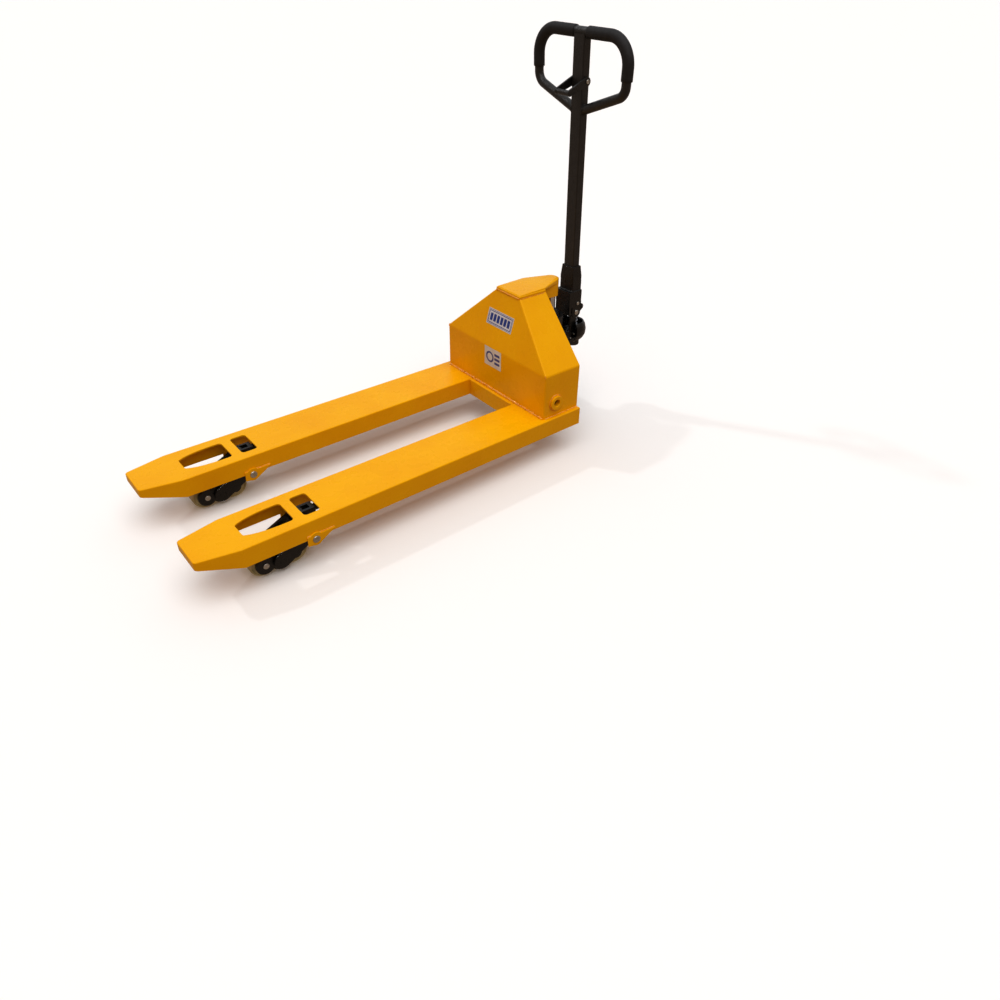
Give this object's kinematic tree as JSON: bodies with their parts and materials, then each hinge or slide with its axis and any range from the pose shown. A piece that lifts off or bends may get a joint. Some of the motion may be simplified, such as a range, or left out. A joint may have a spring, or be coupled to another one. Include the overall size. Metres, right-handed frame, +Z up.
{
  "type": "hand pallet jack",
  "caption": "Hand pallet jack with tapered forks, tandem load rollers, sloping yellow housing, steered hydraulic pump and an upright loop handle.",
  "frame": {"origin": "on the floor, under the centre of the object's box", "axes": "+Z up, +X across the forks to the right fork, -Y the way the forks point"},
  "size_m": [0.564, 1.564, 1.2507],
  "materials": {
    "yellow_enamel": "glossy baked enamel, slight orange peel",
    "zinc_plate": "bright zinc plate",
    "chrome_rod": "hard chrome, polished",
    "label_face": "printed vinyl, blank",
    "black_paint": "black powder coat",
    "cast_black": "gloss black paint over rough casting",
    "nylon": "cream nylon, satin",
    "bearing_steel": "ground steel",
    "hub_grey": "painted casting",
    "tyre_rubber": "solid rubber, satin",
    "grip_rubber": "moulded rubber",
    "spring_steel": "plated spring wire"
  },
  "bodies": {
    "frame": {"left_fork": "yellow_enamel", "right_fork": "yellow_enamel", "cross_member": "yellow_enamel", "front_plate": "yellow_enamel", "left_cheek": "yellow_enamel", "right_cheek": "yellow_enamel", "head_cap": "yellow_enamel", "pivot_brackets": "yellow_enamel", "arm_shafts": "zinc_plate", "rocker_shaft": "cast_black", "shaft_bushes": "yellow_enamel", "ram": "chrome_rod", "labels": "label_face"},
    "rocker": {"rocker_arm": "cast_black", "rod_pins": "zinc_plate"},
    "left_rod": {"left_push_rod": "cast_black"},
    "right_rod": {"right_push_rod": "cast_black"},
    "left_arm": {"left_wheel_arm": "cast_black", "left_arm_pins": "cast_black"},
    "right_arm": {"right_wheel_arm": "cast_black", "right_arm_pins": "cast_black"},
    "left_tandem": {"left_bogie": "cast_black", "left_roller_axles": "zinc_plate"},
    "right_tandem": {"right_bogie": "cast_black", "right_roller_axles": "zinc_plate"},
    "roller_lf": {"left_front_roller": "nylon", "left_front_bearings": "bearing_steel"},
    "roller_lr": {"left_rear_roller": "nylon", "left_rear_bearings": "bearing_steel"},
    "roller_rf": {"right_front_roller": "nylon", "right_front_bearings": "bearing_steel"},
    "roller_rr": {"right_rear_roller": "nylon", "right_rear_bearings": "bearing_steel"},
    "carriage": {"thrust_plate": "cast_black", "link_pins": "zinc_plate"},
    "pump_unit": {"pump_body": "cast_black", "thrust_bearing": "bearing_steel", "spring_guard": "cast_black", "steer_axle": "zinc_plate", "axle_clips": "zinc_plate", "pivot_pin": "zinc_plate", "pump_spring": "spring_steel"},
    "left_wheel": {"left_wheel_hub": "hub_grey", "left_tyre": "tyre_rubber", "left_wheel_bearings": "bearing_steel"},
    "right_wheel": {"right_wheel_hub": "hub_grey", "right_tyre": "tyre_rubber", "right_wheel_bearings": "bearing_steel"},
    "pump_plunger": {"plunger": "chrome_rod"},
    "handle": {"handle_base": "cast_black", "roller_pin": "zinc_plate", "base_bolt": "zinc_plate", "handle_tube": "black_paint", "handle_loop": "black_paint", "grip_sleeves": "grip_rubber", "lever_pin": "zinc_plate"},
    "cam_roller": {"pump_roller": "zinc_plate"},
    "finger_lever": {"control_lever": "black_paint"},
    "control_rod": {"pull_rod": "zinc_plate"},
    "valve_arm": {"release_arm": "cast_black"}
  },
  "joints": [
    {"name": "lift", "type": "slide", "parent": "frame", "child": "carriage", "axis": [0, 0, -1], "range_m": [-0.055, 0.045]},
    {"name": "rocker_swing", "type": "hinge", "parent": "frame", "child": "rocker", "pos_m": [0, 0.417, 0.2], "axis": [1, 0, 0], "range_deg": [-17, 20.5]},
    {"name": "left_rod_swing", "type": "hinge", "parent": "rocker", "child": "left_rod", "pos_m": [-0.195, 0.417, 0.128], "axis": [1, 0, 0], "range_deg": [-20.5, 17]},
    {"name": "left_arm_swing", "type": "hinge", "parent": "frame", "child": "left_arm", "pos_m": [-0.195, -0.47, 0.088], "axis": [1, 0, 0], "range_deg": [-36.5, 30]},
    {"name": "left_tandem_swing", "type": "hinge", "parent": "left_arm", "child": "left_tandem", "pos_m": [-0.195, -0.5615, 0.04], "axis": [1, 0, 0], "range_deg": [-30, 36.5]},
    {"name": "left_front_roller_spin", "type": "hinge", "parent": "left_tandem", "child": "roller_lf", "pos_m": [-0.195, -0.605, 0.04], "axis": [1, 0, 0], "continuous": true},
    {"name": "left_rear_roller_spin", "type": "hinge", "parent": "left_tandem", "child": "roller_lr", "pos_m": [-0.195, -0.518, 0.04], "axis": [1, 0, 0], "continuous": true},
    {"name": "right_rod_swing", "type": "hinge", "parent": "rocker", "child": "right_rod", "pos_m": [0.195, 0.417, 0.128], "axis": [1, 0, 0], "range_deg": [-20.5, 17]},
    {"name": "right_arm_swing", "type": "hinge", "parent": "frame", "child": "right_arm", "pos_m": [0.195, -0.47, 0.088], "axis": [1, 0, 0], "range_deg": [-36.5, 30]},
    {"name": "right_tandem_swing", "type": "hinge", "parent": "right_arm", "child": "right_tandem", "pos_m": [0.195, -0.5615, 0.04], "axis": [1, 0, 0], "range_deg": [-30, 36.5]},
    {"name": "right_front_roller_spin", "type": "hinge", "parent": "right_tandem", "child": "roller_rf", "pos_m": [0.195, -0.605, 0.04], "axis": [1, 0, 0], "continuous": true},
    {"name": "right_rear_roller_spin", "type": "hinge", "parent": "right_tandem", "child": "roller_rr", "pos_m": [0.195, -0.518, 0.04], "axis": [1, 0, 0], "continuous": true},
    {"name": "steer", "type": "hinge", "parent": "carriage", "child": "pump_unit", "pos_m": [0, 0.613, 0.2], "axis": [0, 0, 1], "range_deg": [-90, 90]},
    {"name": "left_wheel_spin", "type": "hinge", "parent": "pump_unit", "child": "left_wheel", "pos_m": [-0.047, 0.613, 0.09], "axis": [1, 0, 0], "continuous": true},
    {"name": "right_wheel_spin", "type": "hinge", "parent": "pump_unit", "child": "right_wheel", "pos_m": [0.047, 0.613, 0.09], "axis": [1, 0, 0], "continuous": true},
    {"name": "handle_tilt", "type": "hinge", "parent": "pump_unit", "child": "handle", "pos_m": [0, 0.712, 0.364], "axis": [-1, 0, 0], "range_deg": [0, 75], "stiffness_Nm_per_rad": 30, "springref_deg": -17.19},
    {"name": "pump_stroke", "type": "slide", "parent": "pump_unit", "child": "pump_plunger", "axis": [0, 0, -1], "range_m": [0, 0.0345], "deforming": ["pump_spring"]},
    {"name": "cam_roller_spin", "type": "hinge", "parent": "handle", "child": "cam_roller", "pos_m": [0, 0.73451, 0.38066], "axis": [1, 0, 0], "continuous": true},
    {"name": "lever_rock", "type": "hinge", "parent": "handle", "child": "finger_lever", "pos_m": [0, 0.69263, 1.10375], "axis": [-1, 0, 0], "range_deg": [-8, 8]},
    {"name": "rod_pull", "type": "slide", "parent": "handle", "child": "control_rod", "axis": [0, -0.0262, 0.9997], "range_m": [-0.003, 0.003]},
    {"name": "valve_turn", "type": "hinge", "parent": "pump_unit", "child": "valve_arm", "pos_m": [0.054, 0.633, 0.262], "axis": [1, 0, 0], "range_deg": [-8.5, 8.5]}
  ],
  "couplings": [
    {"joint": "rocker_swing", "follows": "lift", "rad_per_m": -6.2893},
    {"joint": "left_rod_swing", "follows": "lift", "rad_per_m": 6.2893},
    {"joint": "left_arm_swing", "follows": "lift", "rad_per_m": 11.321},
    {"joint": "left_tandem_swing", "follows": "lift", "rad_per_m": -11.321},
    {"joint": "right_rod_swing", "follows": "lift", "rad_per_m": 6.2893},
    {"joint": "right_arm_swing", "follows": "lift", "rad_per_m": 11.321},
    {"joint": "right_tandem_swing", "follows": "lift", "rad_per_m": -11.321},
    {"joint": "pump_stroke", "follows": "handle_tilt", "m_per_rad": 0.026},
    {"joint": "rod_pull", "follows": "lever_rock", "m_per_rad": 0.02},
    {"joint": "valve_turn", "follows": "lever_rock", "ratio": 1}
  ]
}
